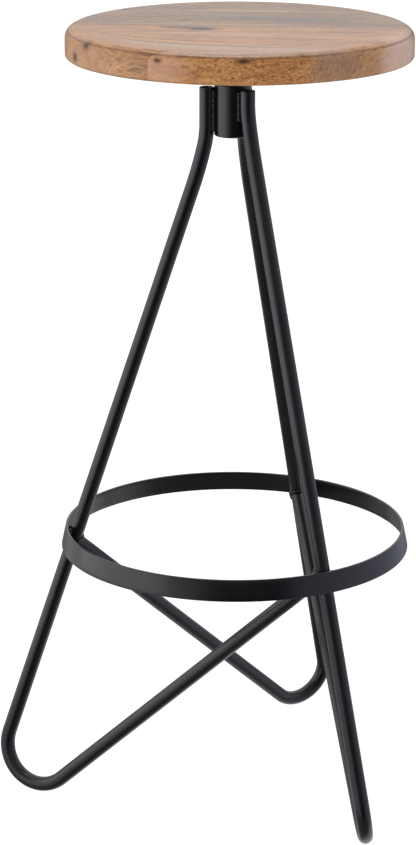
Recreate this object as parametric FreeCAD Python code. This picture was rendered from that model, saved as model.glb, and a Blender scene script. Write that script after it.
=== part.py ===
import FreeCAD, Part
import math, os

V = FreeCAD.Vector
os.makedirs("parts", exist_ok=True)

# ---------------------------------------------------------------------------
# Three-legged swivel bar stool: round wooden seat, three hairpin tube legs
# welded to a short hub collar, and a flat-bar footrest ring round the legs.
# Origin: on the swivel axis at floor level.  +Z up.  Millimetres.
# ---------------------------------------------------------------------------

# overall
HEIGHT = 765.0            # floor to top of the seat
SEAT_R = 165.0            # seat disc radius
SEAT_T = 28.0             # seat thickness
SEAT_X, SEAT_Y = 6.0, 0.0 # the disc is screwed on slightly off the swivel axis
SEAT_TOP_ROUND = 10.0     # rounded upper edge
SEAT_BOT_ROUND = 3.0      # small lower edge round
SEAT_TURN = -7.5          # grain direction of the seat at rest, degrees from +X
BOARD_CUTS = (-147.0, -2.0)  # glue lines between the three boards

# leg tubes
TUBE_R = 7.15             # outside radius
TUBE_WALL = 1.5
LEG_HUB_R = 24.9          # tube centre to swivel axis at the hub
LEG_TOP_Z = 707.5
BEND1_R, BEND1_A = 100.0, 13.0   # quick part of the upper bend
BEND2_R = 450.0                  # slow part of the upper bend
# The three hairpins are bent and welded by hand and differ by a few
# millimetres.  az: azimuth of the leg's vertical plane.  foot_r: where leg and
# brace lines would cross, from the axis.  knee_z: where the upright and sloping
# lines would cross.  brace_z: height where its brace meets the next leg's
# centre line (next = counter-clockwise seen from above).  bend_r: foot bend.
LEGS = [
    dict(name="left_leg_tube", az=180.0, foot_r=265.6, knee_z=651.5, brace_z=265.0, bend_r=38.0),
    dict(name="front_leg_tube", az=300.0, foot_r=264.0, knee_z=678.5, brace_z=258.9, bend_r=36.8),
    dict(name="rear_leg_tube", az=60.0, foot_r=263.0, knee_z=645.5, brace_z=257.8, bend_r=32.0),
]

# footrest ring, a flat bar rolled to a slight cone
RING_Z = 261.3            # mid height
RING_H = 20.0
RING_T = 3.0
RING_RO = 169.3           # outside radius at mid height
RING_FLARE = 4.2          # bottom edge stands out from the top edge by this
RING_X, RING_Y = 3.6, -1.0  # the ring is welded on slightly off centre
SEAM_AZ = 60.0
SEAM_GAP = 2.0

# hub
COLLAR_RO, COLLAR_RI = 17.75, 14.0
COLLAR_Z0, COLLAR_Z1 = 661.0, 711.0
BUSH_RI = 10.05
UP_BUSH_Z0 = 693.0
BUSH_FLANGE_R, BUSH_FLANGE_T = 16.5, 2.0
LO_BUSH_Z0, LO_BUSH_Z1 = 669.0, 684.0
WASHER_RI, WASHER_RO, WASHER_T = 10.4, 16.5, 2.0

# seat mounting
SPINDLE_R = 10.0
SPINDLE_Z0 = 663.0
SHOULDER_R = 14.0
PLATE_R, PLATE_T = 60.0, 4.0
SCREW_PCD = 90.0
SCREW_R, SCREW_HOLE_R = 2.0, 2.4
SCREW_HEAD_R, SCREW_HEAD_H = 4.0, 2.4
SCREW_DEPTH = 16.0
CLIP_T, CLIP_RI, CLIP_RO = 1.2, 9.5, 12.4
GROOVE_W = 1.3

SEAT_Z0 = HEIGHT - SEAT_T
PLATE_Z0 = SEAT_Z0 - PLATE_T
WASHER_Z0 = COLLAR_Z1 + BUSH_FLANGE_T
SHOULDER_Z0 = WASHER_Z0 + WASHER_T


def save(name, shape):
    if not shape.isValid():
        raise RuntimeError(name + " is not valid")
    print("%-20s solids %d  volume %.1f mm3  z %.2f..%.2f" % (
        name, len(shape.Solids), shape.Volume, shape.BoundBox.ZMin, shape.BoundBox.ZMax))
    shape.exportStep("parts/" + name + ".step")


def cyl(r, z0, z1, x=0.0, y=0.0):
    return Part.makeCylinder(r, z1 - z0, V(x, y, z0), V(0, 0, 1))


def tube(ro, ri, z0, z1):
    return cyl(ro, z0, z1).cut(cyl(ri, z0 - 1, z1 + 1))


def turned(shape, deg):
    s = shape.copy()
    s.rotate(V(0, 0, 0), V(0, 0, 1), deg)
    return s


def turned_xy(x, y, deg):
    a = math.radians(deg)
    return V(x * math.cos(a) - y * math.sin(a), x * math.sin(a) + y * math.cos(a), 0)


# ---------------------------------------------------------------------------
# leg tubes: upright at the hub, two-stage upper bend, sloping leg, foot bend,
# then a brace up to the next leg round.  The foot's depth is solved so that
# every foot bend touches the floor plane z = 0.
# ---------------------------------------------------------------------------
def unit(v):
    v = V(v)
    v.normalize()
    return v


def radial(az, r, z):
    a = math.radians(az)
    return V(r * math.cos(a), r * math.sin(a), z)


def leg_r(g, z):
    return LEG_HUB_R + (g["knee_z"] - z) / (g["knee_z"] - g["foot_z"]) * (g["foot_r"] - LEG_HUB_R)


def solve(g, nxt):
    apex = radial(g["az"], g["foot_r"], g["foot_z"])
    knee = radial(g["az"], LEG_HUB_R, g["knee_z"])
    end = radial(nxt["az"], leg_r(nxt, g["brace_z"]), g["brace_z"])
    u, w = unit(knee - apex), unit(end - apex)
    half = u.getAngle(w) / 2
    mid = unit(u + w)
    centre = apex + mid * (g["bend_r"] / math.sin(half))
    n = unit(u.cross(w))
    g.update(apex=apex, knee=knee, end=end, u=u, w=w, mid=mid, centre=centre,
             tan=g["bend_r"] / math.tan(half),
             low=centre.z - g["bend_r"] * math.sqrt(1 - n.z * n.z),
             tilt=math.atan2(g["foot_r"] - LEG_HUB_R, g["knee_z"] - g["foot_z"]))


for g in LEGS:
    g["foot_z"] = -65.0
for _ in range(60):
    for i, g in enumerate(LEGS):
        solve(g, LEGS[(i + 1) % 3])
    for g in LEGS:
        g["foot_z"] += (TUBE_R - g["low"]) * 0.9
for i, g in enumerate(LEGS):
    solve(g, LEGS[(i + 1) % 3])
    print("%s foot z %.2f tilt %.2f at ring %.2f low %.3f" % (
        g["name"], g["foot_z"], math.degrees(g["tilt"]), leg_r(g, RING_Z), g["low"] - TUBE_R))


def leg_edges(g):
    tilt = g["tilt"]
    t1 = math.radians(BEND1_A)
    dx = BEND1_R * (1 - math.cos(t1)) + BEND2_R * (math.cos(t1) - math.cos(tilt))
    dz = BEND1_R * math.sin(t1) + BEND2_R * (math.sin(tilt) - math.sin(t1))
    z1 = g["knee_z"] - dx / math.tan(tilt) + dz
    g["bend_z"] = z1
    az = g["az"]
    c1x = LEG_HUB_R + BEND1_R

    def on1(t):
        return c1x - BEND1_R * math.cos(t), z1 - BEND1_R * math.sin(t)
    ex, ez = on1(t1)
    c2x, c2z = ex + BEND2_R * math.cos(t1), ez + BEND2_R * math.sin(t1)

    def on2(t):
        return c2x - BEND2_R * math.cos(t), c2z - BEND2_R * math.sin(t)
    p0, p1 = radial(az, LEG_HUB_R, LEG_TOP_Z), radial(az, LEG_HUB_R, z1)
    m1, p2 = radial(az, *on1(t1 / 2)), radial(az, ex, ez)
    m2, p3 = radial(az, *on2((t1 + tilt) / 2)), radial(az, *on2(tilt))
    p4, p5 = g["apex"] + g["u"] * g["tan"], g["apex"] + g["w"] * g["tan"]
    m3 = g["centre"] - g["mid"] * g["bend_r"]
    return [Part.LineSegment(p0, p1).toShape(), Part.Arc(p1, m1, p2).toShape(),
            Part.Arc(p2, m2, p3).toShape(), Part.LineSegment(p3, p4).toShape(),
            Part.Arc(p4, m3, p5).toShape(), Part.LineSegment(p5, g["end"]).toShape()]


def sweep(g, edges, r):
    prof = Part.Wire([Part.makeCircle(r, radial(g["az"], LEG_HUB_R, LEG_TOP_Z), V(0, 0, 1))])
    s = Part.Wire(edges).makePipeShell([prof], True, True)
    return s if s.ShapeType == "Solid" else Part.makeSolid(s)


for g in LEGS:
    edges = leg_edges(g)
    g["outer"] = sweep(g, edges, TUBE_R)
    g["inner"] = sweep(g, edges, TUBE_R - TUBE_WALL)
    ln = sum(e.Length for e in edges)
    print("%s path %.1f mm, volume ratio %.5f, bend from z %.1f" % (
        g["name"], ln, g["outer"].Volume / (math.pi * TUBE_R ** 2 * ln), g["bend_z"]))
for i, g in enumerate(LEGS):
    t = g["outer"].cut(g["inner"]).cut(LEGS[(i + 1) % 3]["outer"])
    save(g["name"], max(t.Solids, key=lambda q: q.Volume))

# ---------------------------------------------------------------------------
# footrest ring
# ---------------------------------------------------------------------------
zb, zt = RING_Z - RING_H / 2, RING_Z + RING_H / 2
h = RING_FLARE / 2
prof = [V(RING_RO - RING_T + h, 0, zb), V(RING_RO + h, 0, zb),
        V(RING_RO - h, 0, zt), V(RING_RO - RING_T - h, 0, zt)]
face = Part.Face(Part.makePolygon(prof + [prof[0]]))
full_ring = face.revolve(V(0, 0, 0), V(0, 0, 1), 360)
full_ring = full_ring.makeFillet(0.6, full_ring.Edges)
full_ring.translate(V(RING_X, RING_Y, 0))
gap = Part.makeBox(40, SEAM_GAP, 60, V(RING_RO - 18, -SEAM_GAP / 2, RING_Z - 30))
gap = turned(gap, SEAM_AZ)
ring = full_ring.cut(gap)
save("footrest_ring", ring)
save("footrest_seam_weld", full_ring.common(gap))

# ---------------------------------------------------------------------------
# hub collar, bushes and washer
# ---------------------------------------------------------------------------
collar = tube(COLLAR_RO, COLLAR_RI, COLLAR_Z0, COLLAR_Z1)
rims = [e for e in collar.Edges if isinstance(e.Curve, Part.Circle)
        and abs(e.Curve.Radius - COLLAR_RO) < 1e-3]
collar = collar.makeChamfer(0.8, rims)
save("hub_collar", collar)

up = tube(COLLAR_RI, BUSH_RI, UP_BUSH_Z0, COLLAR_Z1).fuse(
    tube(BUSH_FLANGE_R, BUSH_RI, COLLAR_Z1, COLLAR_Z1 + BUSH_FLANGE_T)).removeSplitter()
save("upper_bush", up)
save("lower_bush", tube(COLLAR_RI, BUSH_RI, LO_BUSH_Z0, LO_BUSH_Z1))
save("thrust_washer", tube(WASHER_RO, WASHER_RI, WASHER_Z0, SHOULDER_Z0))

# ---------------------------------------------------------------------------
# welds on the frame
# ---------------------------------------------------------------------------
collar_full = cyl(COLLAR_RO, COLLAR_Z0, COLLAR_Z1)
beads = []
for g in LEGS:
    z0 = max(g["bend_z"] - 21.0, COLLAR_Z0 + 4.0)
    for side in (1, -1):
        b = turned(cyl(3.3, z0, LEG_TOP_Z - 1.5, 18.25, side * 4.65), g["az"])
        b = b.cut(collar_full).cut(g["outer"])
        beads.append(max(b.Solids, key=lambda q: q.Volume))
save("hub_welds", Part.makeCompound(beads))

ring_inside = cyl(RING_RO - 1.0, zb + 0.3, zt - 0.3, RING_X, RING_Y)
beads = []
for g in LEGS:
    az, rl = g["az"], leg_r(g, RING_Z)
    away = radial(az, math.sin(g["tilt"]), -math.cos(g["tilt"]))
    tang = radial(az + 90, 1, 0)
    out = radial(az, 1, 0)
    # distance from the axis to the ring's inner wall on this side
    c = V(RING_X, RING_Y, 0)
    k = c.dot(out)
    wall = k + math.sqrt(k * k - c.dot(c) + (RING_RO - RING_T) ** 2)
    mid_r = (rl + 4.9 + wall) / 2
    rb = max(3.0, (wall - rl - 4.9) / 2 + 0.9)
    for side in (1, -1):
        p = out * mid_r + tang * (side * 5.3) + V(0, 0, RING_Z)
        b = Part.makeCylinder(rb, 19.0, p - away * 9.5, away)
        b = b.cut(g["outer"]).cut(full_ring).common(ring_inside)
        beads.append(max(b.Solids, key=lambda q: q.Volume))
save("footrest_welds", Part.makeCompound(beads))
ring_beads = Part.makeCompound(beads)

out = []
for i, g in enumerate(LEGS):
    nxt = LEGS[(i + 1) % 3]
    b = Part.makeCylinder(TUBE_R + 2.4, 15.0, g["end"] - g["w"] * 15.0, g["w"])
    b = b.common(Part.makeSphere(14.2, g["end"]))
    b = b.cut(g["outer"]).cut(nxt["outer"]).cut(full_ring).cut(ring_beads)
    best = [q for q in b.Solids if (q.CenterOfMass - g["end"]).dot(g["w"]) < 0]
    out.append(max(best, key=lambda q: q.Volume))
save("brace_welds", Part.makeCompound(out))

# ---------------------------------------------------------------------------
# seat mounting: turned spindle, washer, clip, plate, weld, screws
# ---------------------------------------------------------------------------
WASH2_Z1 = LO_BUSH_Z0 - 0.1
WASH2_Z0 = WASH2_Z1 - 1.5
CLIP_Z1 = WASH2_Z0
CLIP_Z0 = CLIP_Z1 - CLIP_T
spindle = cyl(SPINDLE_R, SPINDLE_Z0, SHOULDER_Z0).fuse(
    cyl(SHOULDER_R, SHOULDER_Z0, PLATE_Z0)).removeSplitter()
groove = tube(SPINDLE_R + 2, CLIP_RI, CLIP_Z0 - 0.05, CLIP_Z0 - 0.05 + GROOVE_W)
spindle = spindle.cut(groove)
end_edges = [e for e in spindle.Edges if isinstance(e.Curve, Part.Circle)
             and abs(e.BoundBox.ZMax - SPINDLE_Z0) < 1e-3]
spindle = spindle.makeChamfer(1.0, end_edges)
save("swivel_spindle", spindle)
save("retaining_washer", tube(13.5, 10.15, WASH2_Z0, WASH2_Z1))
clip = tube(CLIP_RO, CLIP_RI, CLIP_Z0, CLIP_Z1)
clip = clip.cut(Part.makeBox(20, 5.0, 10, V(0, -2.5, CLIP_Z0 - 4)))
save("retaining_clip", clip)

plate = cyl(PLATE_R, PLATE_Z0, SEAT_Z0)
screws_xy = []
for k in range(4):
    a = math.radians(45 + 90 * k)
    screws_xy.append((SCREW_PCD / 2 * math.cos(a), SCREW_PCD / 2 * math.sin(a)))
for x, y in screws_xy:
    plate = plate.cut(cyl(SCREW_HOLE_R, PLATE_Z0 - 1, SEAT_Z0 + 1, x, y))
rim = [e for e in plate.Edges if isinstance(e.Curve, Part.Circle)
       and abs(e.Curve.Radius - PLATE_R) < 1e-3]
plate = plate.makeChamfer(0.6, rim)
save("seat_plate", turned(plate, SEAT_TURN))

w = 4.5
tri = Part.Face(Part.makePolygon([V(SHOULDER_R, 0, PLATE_Z0), V(SHOULDER_R + w, 0, PLATE_Z0),
                                  V(SHOULDER_R, 0, PLATE_Z0 - w), V(SHOULDER_R, 0, PLATE_Z0)]))
save("plate_weld", tri.revolve(V(0, 0, 0), V(0, 0, 1), 360))

screws = []
for x, y in screws_xy:
    head = cyl(SCREW_HEAD_R, PLATE_Z0 - SCREW_HEAD_H, PLATE_Z0, x, y)
    top = [e for e in head.Edges if isinstance(e.Curve, Part.Circle)
           and abs(e.BoundBox.ZMin - (PLATE_Z0 - SCREW_HEAD_H)) < 1e-3]
    head = head.makeFillet(1.4, top)
    slot = Part.makeBox(4.6, 1.0, 1.2, V(x - 2.3, y - 0.5, PLATE_Z0 - SCREW_HEAD_H - 0.1))
    slot2 = Part.makeBox(1.0, 4.6, 1.2, V(x - 0.5, y - 2.3, PLATE_Z0 - SCREW_HEAD_H - 0.1))
    shank = cyl(SCREW_R, PLATE_Z0, SEAT_Z0 + SCREW_DEPTH - 3, x, y)
    tip = Part.makeCone(SCREW_R, 0.4, 3, V(x, y, SEAT_Z0 + SCREW_DEPTH - 3), V(0, 0, 1))
    s = head.fuse(shank).fuse(tip).removeSplitter().cut(slot).cut(slot2)
    screws.append(max(s.Solids, key=lambda q: q.Volume))
save("seat_screws", turned(Part.makeCompound(screws), SEAT_TURN))

# ---------------------------------------------------------------------------
# seat: three glued boards cut to one disc
# ---------------------------------------------------------------------------
disc = cyl(SEAT_R, SEAT_Z0, HEIGHT)
te = [e for e in disc.Edges if isinstance(e.Curve, Part.Circle)
      and abs(e.BoundBox.ZMin - HEIGHT) < 1e-3 and abs(e.BoundBox.ZMax - HEIGHT) < 1e-3]
disc = disc.makeFillet(SEAT_TOP_ROUND, te)
be = [e for e in disc.Edges if isinstance(e.Curve, Part.Circle)
      and abs(e.BoundBox.ZMin - SEAT_Z0) < 1e-3 and abs(e.BoundBox.ZMax - SEAT_Z0) < 1e-3]
disc = disc.makeFillet(SEAT_BOT_ROUND, be)
disc.translate(turned_xy(SEAT_X, SEAT_Y, -SEAT_TURN))
for x, y in screws_xy:
    pilot = cyl(SCREW_R, SEAT_Z0 - 1, SEAT_Z0 + SCREW_DEPTH - 3, x, y).fuse(
        Part.makeCone(SCREW_R, 0.4, 3, V(x, y, SEAT_Z0 + SCREW_DEPTH - 3), V(0, 0, 1)))
    disc = disc.cut(pilot)
cuts = (-400.0,) + BOARD_CUTS + (400.0,)
for name, y0, y1 in zip(("seat_board_front", "seat_board_middle", "seat_board_rear"),
                        cuts[:-1], cuts[1:]):
    slab = Part.makeBox(800, y1 - y0, 100, V(-400, y0, SEAT_Z0 - 30))
    save(name, turned(disc.common(slab), SEAT_TURN))
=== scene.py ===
import bpy, bmesh, math, random
import numpy as np
from mathutils import Vector, Matrix
from mathutils.geometry import delaunay_2d_cdt


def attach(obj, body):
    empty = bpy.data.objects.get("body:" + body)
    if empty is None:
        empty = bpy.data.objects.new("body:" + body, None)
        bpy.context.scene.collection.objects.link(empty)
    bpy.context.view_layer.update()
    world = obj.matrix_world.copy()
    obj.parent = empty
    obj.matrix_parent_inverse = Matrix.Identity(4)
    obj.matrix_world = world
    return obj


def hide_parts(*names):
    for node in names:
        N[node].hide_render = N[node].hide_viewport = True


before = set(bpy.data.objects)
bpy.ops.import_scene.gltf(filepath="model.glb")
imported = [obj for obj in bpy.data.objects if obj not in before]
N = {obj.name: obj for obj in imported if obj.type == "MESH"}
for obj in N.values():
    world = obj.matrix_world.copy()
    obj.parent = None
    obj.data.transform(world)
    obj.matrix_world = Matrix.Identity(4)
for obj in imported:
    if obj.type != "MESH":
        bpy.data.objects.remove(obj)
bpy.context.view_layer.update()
scn = bpy.context.scene
MM = 0.001

# --------------------------------------------------------------------------
# dimensions, as in the design (millimetres)
# --------------------------------------------------------------------------
TUBE_R, TUBE_RI = 7.15, 5.65
LEG_HUB_R, LEG_TOP_Z = 24.9, 707.5
BEND1_R, BEND1_A, BEND2_R = 100.0, 13.0, 450.0
LEGS = [
    dict(node="left_leg_tube", az=180.0, foot_r=265.6, knee_z=651.5, brace_z=265.0, bend_r=38.0),
    dict(node="front_leg_tube", az=300.0, foot_r=264.0, knee_z=678.5, brace_z=258.9, bend_r=36.8),
    dict(node="rear_leg_tube", az=60.0, foot_r=263.0, knee_z=645.5, brace_z=257.8, bend_r=32.0),
]
RING_Z, RING_H, RING_T, RING_RO, RING_FLARE = 261.3, 20.0, 3.0, 169.3, 4.2
RING_X, RING_Y, SEAM_AZ, SEAM_GAP = 3.6, -1.0, 60.0, 2.0
COLLAR_RO, COLLAR_Z0 = 17.75, 661.0
SEAT_TOP, SEAT_T, SEAT_R = 765.0, 28.0, 165.0
SEAT_X, SEAT_Y, SEAT_TURN = 6.0, 0.0, -7.5
TOP_ROUND, BOT_ROUND = 10.0, 3.0
CUTS = (-400.0, -147.0, -2.0, 400.0)


def V(*a):
    return Vector(a)


def radial(az, r, z):
    a = math.radians(az)
    return Vector((r * math.cos(a), r * math.sin(a), z))


# --------------------------------------------------------------------------
# leg tube paths
# --------------------------------------------------------------------------
def leg_r(g, z):
    return LEG_HUB_R + (g["knee_z"] - z) / (g["knee_z"] - g["foot_z"]) * (g["foot_r"] - LEG_HUB_R)


def solve(g, nxt):
    apex = radial(g["az"], g["foot_r"], g["foot_z"])
    knee = radial(g["az"], LEG_HUB_R, g["knee_z"])
    end = radial(nxt["az"], leg_r(nxt, g["brace_z"]), g["brace_z"])
    u, w = (knee - apex).normalized(), (end - apex).normalized()
    half = u.angle(w) / 2
    mid = (u + w).normalized()
    centre = apex + mid * (g["bend_r"] / math.sin(half))
    n = u.cross(w).normalized()
    g.update(apex=apex, knee=knee, end=end, u=u, w=w, mid=mid, centre=centre,
             tan=g["bend_r"] / math.tan(half),
             low=centre.z - g["bend_r"] * math.sqrt(1 - n.z * n.z),
             tilt=math.atan2(g["foot_r"] - LEG_HUB_R, g["knee_z"] - g["foot_z"]))


for g in LEGS:
    g["foot_z"] = -65.0
for _ in range(60):
    for i, g in enumerate(LEGS):
        solve(g, LEGS[(i + 1) % 3])
    for g in LEGS:
        g["foot_z"] += (TUBE_R - g["low"]) * 0.9
for i, g in enumerate(LEGS):
    solve(g, LEGS[(i + 1) % 3])


def line_pts(a, b, step):
    n = max(2, int(round((b - a).length / step)))
    return [a.lerp(b, k / n) for k in range(n + 1)]


def leg_path(g):
    tilt, t1 = g["tilt"], math.radians(BEND1_A)
    dx = BEND1_R * (1 - math.cos(t1)) + BEND2_R * (math.cos(t1) - math.cos(tilt))
    dz = BEND1_R * math.sin(t1) + BEND2_R * (math.sin(tilt) - math.sin(t1))
    z1 = g["knee_z"] - dx / math.tan(tilt) + dz
    g["bend_z"] = z1
    az = g["az"]
    c1x = LEG_HUB_R + BEND1_R
    on1 = lambda t: (c1x - BEND1_R * math.cos(t), z1 - BEND1_R * math.sin(t))
    ex, ez = on1(t1)
    c2x, c2z = ex + BEND2_R * math.cos(t1), ez + BEND2_R * math.sin(t1)
    on2 = lambda t: (c2x - BEND2_R * math.cos(t), c2z - BEND2_R * math.sin(t))
    pts = line_pts(radial(az, LEG_HUB_R, LEG_TOP_Z), radial(az, LEG_HUB_R, z1), 6.0)
    pts += [radial(az, *on1(t1 * k / 10)) for k in range(1, 11)]
    pts += [radial(az, *on2(t1 + (tilt - t1) * k / 12)) for k in range(1, 13)]
    p4, p5 = g["apex"] + g["u"] * g["tan"], g["apex"] + g["w"] * g["tan"]
    pts += line_pts(pts[-1], p4, 16.0)[1:]
    # foot bend
    e1 = (p4 - g["centre"]).normalized()
    axis = g["u"].cross(g["w"]).normalized()
    ang = math.acos(max(-1, min(1, e1.dot((p5 - g["centre"]).normalized()))))
    best = None
    for s in (1, -1):
        q = Matrix.Rotation(s * ang, 3, axis) @ e1
        d = (g["centre"] + q * g["bend_r"] - p5).length
        if best is None or d < best[0]:
            best = (d, s)
    m = 44
    for k in range(1, m + 1):
        q = Matrix.Rotation(best[1] * ang * k / m, 3, axis) @ e1
        pts.append(g["centre"] + q * g["bend_r"])
    pts += line_pts(p5, g["end"], 16.0)[1:]
    return pts


def new_object(name, verts, faces, smooth=True, scale=MM):
    me = bpy.data.meshes.new(name)
    me.from_pydata([tuple(c * scale for c in v) for v in verts], [], faces)
    me.validate()
    bm = bmesh.new()
    bm.from_mesh(me)
    bmesh.ops.recalc_face_normals(bm, faces=bm.faces)
    bm.to_mesh(me)
    bm.free()
    for p in me.polygons:
        p.use_smooth = smooth
    o = bpy.data.objects.new(name, me)
    scn.collection.objects.link(o)
    return o


def sharp_by_angle(o, deg=35):
    """Marks edges sharper than deg so that smooth shading stops at them."""
    bm = bmesh.new()
    bm.from_mesh(o.data)
    lim = math.radians(deg)
    for e in bm.edges:
        e.smooth = not (len(e.link_faces) == 2 and e.calc_face_angle(0) > lim)
    bm.to_mesh(o.data)
    bm.free()


SEG = 36


def frames_along(pts):
    tang = []
    for i in range(len(pts)):
        a = pts[max(0, i - 1)]
        b = pts[min(len(pts) - 1, i + 1)]
        tang.append((b - a).normalized())
    tang[0] = Vector((0, 0, -1))
    n = Vector((1, 0, 0))
    out = []
    for t in tang:
        n = (n - t * n.dot(t)).normalized()
        out.append((t, n, t.cross(n).normalized()))
    return out


def first_hit(p, d, q0, axis, rad):
    """Distance along d from p to the first crossing of a cylinder round q0 + s*axis."""
    m = p - q0
    m = m - axis * m.dot(axis)
    k = d - axis * d.dot(axis)
    a, b, c = k.dot(k), 2 * m.dot(k), m.dot(m) - rad * rad
    disc = b * b - 4 * a * c
    return (-b - math.sqrt(max(disc, 0.0))) / (2 * a)


def tube_mesh(g, nxt):
    pts = leg_path(g)
    fr = frames_along(pts)
    # leave the last stretch to the shaped end
    keep = len(pts)
    while (pts[keep - 1] - g["end"]).length < 17.0:
        keep -= 1
    verts, faces, rings = [], [], []

    def ring(c, n, b, r, shift=None):
        ids = []
        for s in range(SEG):
            a = 2 * math.pi * s / SEG
            v = c + (n * math.cos(a) + b * math.sin(a)) * r
            if shift:
                v = shift(v)
            ids.append(len(verts))
            verts.append(v)
        rings.append(ids)
        return ids
    t, n, b = fr[0]
    # inner wall, from its deep end up to the mouth
    inner = []
    w_end = g["w"]
    tn, nn, bn = fr[keep - 1]
    base = pts[keep - 1]

    def cope(r_hit, back=0.0):
        def f(v):
            return v + w_end * (first_hit(v, w_end, nxt["apex"], nxt["u"], r_hit) - back)
        return f
    seq = []
    seq.append(ring(base, nn, bn, TUBE_RI, cope(TUBE_R - 0.4)))
    for i in range(keep - 1, 0, -2):
        seq.append(ring(pts[i], fr[i][1], fr[i][2], TUBE_RI))
    seq.append(ring(pts[0] + V(0, 0, -0.45), n, b, TUBE_RI))
    seq.append(ring(pts[0] + V(0, 0, -0.12), n, b, TUBE_RI + 0.12))
    seq.append(ring(pts[0], n, b, TUBE_RI + 0.45))
    seq.append(ring(pts[0], n, b, TUBE_R - 0.45))
    seq.append(ring(pts[0] + V(0, 0, -0.12), n, b, TUBE_R - 0.12))
    seq.append(ring(pts[0] + V(0, 0, -0.45), n, b, TUBE_R))
    for i in range(1, keep):
        seq.append(ring(pts[i], fr[i][1], fr[i][2], TUBE_R))
    seq.append(ring(base, nn, bn, TUBE_R, cope(TUBE_R, 4.0)))
    seq.append(ring(base, nn, bn, TUBE_R, cope(TUBE_R - 0.4)))
    for a, c in zip(seq, seq[1:] + seq[:1]):
        for s in range(SEG):
            faces.append((a[s], a[(s + 1) % SEG], c[(s + 1) % SEG], c[s]))
    return new_object("tube_" + g["node"], verts, faces)


tubes = {}
for i, g in enumerate(LEGS):
    o = tube_mesh(g, LEGS[(i + 1) % 3])
    tubes[g["node"]] = o

# --------------------------------------------------------------------------
# footrest ring: a rolled flat bar with softened edges and its butt weld
# --------------------------------------------------------------------------
zb, zt = RING_Z - RING_H / 2, RING_Z + RING_H / 2
hf = RING_FLARE / 2


def bar_profile(rc=0.75, steps=4):
    """(radius, z) points round the bar's section, corners rounded."""
    q = [Vector((RING_RO - RING_T + hf, zb)), Vector((RING_RO + hf, zb)),
         Vector((RING_RO - hf, zt)), Vector((RING_RO - RING_T - hf, zt))]
    out = []
    for i in range(4):
        p, a, c = q[i], q[i - 1], q[(i + 1) % 4]
        u, w = (a - p).normalized(), (c - p).normalized()
        half = math.acos(max(-1, min(1, u.dot(w)))) / 2
        cen = p + (u + w).normalized() * (rc / math.sin(half))
        s0, s1 = p + u * (rc / math.tan(half)), p + w * (rc / math.tan(half))
        a0 = math.atan2(*(s0 - cen).yx)
        a1 = math.atan2(*(s1 - cen).yx)
        d = (a1 - a0 + math.pi) % (2 * math.pi) - math.pi
        for k in range(steps + 1):
            t = a0 + d * k / steps
            out.append((cen.x + rc * math.cos(t), cen.y + rc * math.sin(t)))
        # two points along the straight to the next corner
        nx = q[(i + 1) % 4]
        far = nx + (p - nx).normalized() * 1.2
        if (far - s1).length > 4:
            for f in (0.25, 0.5, 0.75):
                m = s1.lerp(far, f)
                out.append((m.x, m.y))
    return out


def ring_mesh():
    prof = bar_profile()
    m = 300
    half_gap = math.degrees(SEAM_GAP / 2 / RING_RO)
    verts, faces, rows = [], [], []
    for k in range(m + 1):
        az = math.radians(SEAM_AZ + half_gap + (360 - 2 * half_gap) * k / m)
        row = []
        for r, z in prof:
            row.append(len(verts))
            verts.append((RING_X + r * math.cos(az), RING_Y + r * math.sin(az), z))
        rows.append(row)
    P = len(prof)
    for a, c in zip(rows, rows[1:]):
        for s in range(P):
            faces.append((a[s], a[(s + 1) % P], c[(s + 1) % P], c[s]))
    faces.append(tuple(rows[0]))
    faces.append(tuple(reversed(rows[-1])))
    o = new_object("ring_bar", verts, faces)
    sharp_by_angle(o, 60)
    return o


ring_o = ring_mesh()


def seam_weld_mesh():
    """The ground-back butt weld across the bar: a low rippled band all round the section."""
    prof = bar_profile()
    P = len(prof)
    cx = sum(p[0] for p in prof) / P
    cz = sum(p[1] for p in prof) / P
    verts, faces, rows = [], [], []
    m = 10
    rnd = random.Random(5)
    span = math.degrees(3.2 / RING_RO)
    for k in range(m + 1):
        f = k / m
        az = math.radians(SEAM_AZ + span * (f - 0.5) * 2)
        lift = 0.42 * math.sin(math.pi * f) ** 0.7
        row = []
        for j, (r, z) in enumerate(prof):
            d = Vector((r - cx, (z - cz) * 0.2))
            d = d.normalized()
            rip = 0.75 + 0.25 * math.sin(z * 2.6 + f * 1.4) + rnd.uniform(-0.1, 0.1)
            rr, zz = r + d.x * (lift * rip - 0.06), z + d.y * (lift * rip * 0.3 - 0.05)
            row.append(len(verts))
            verts.append((RING_X + rr * math.cos(az), RING_Y + rr * math.sin(az), min(max(zz, zb), zt)))
        rows.append(row)
    for a, c in zip(rows, rows[1:]):
        for s in range(P):
            faces.append((a[s], a[(s + 1) % P], c[(s + 1) % P], c[s]))
    faces.append(tuple(rows[0]))
    faces.append(tuple(reversed(rows[-1])))
    return new_object("ring_seam_bead", verts, faces)


seam_o = seam_weld_mesh()


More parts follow.
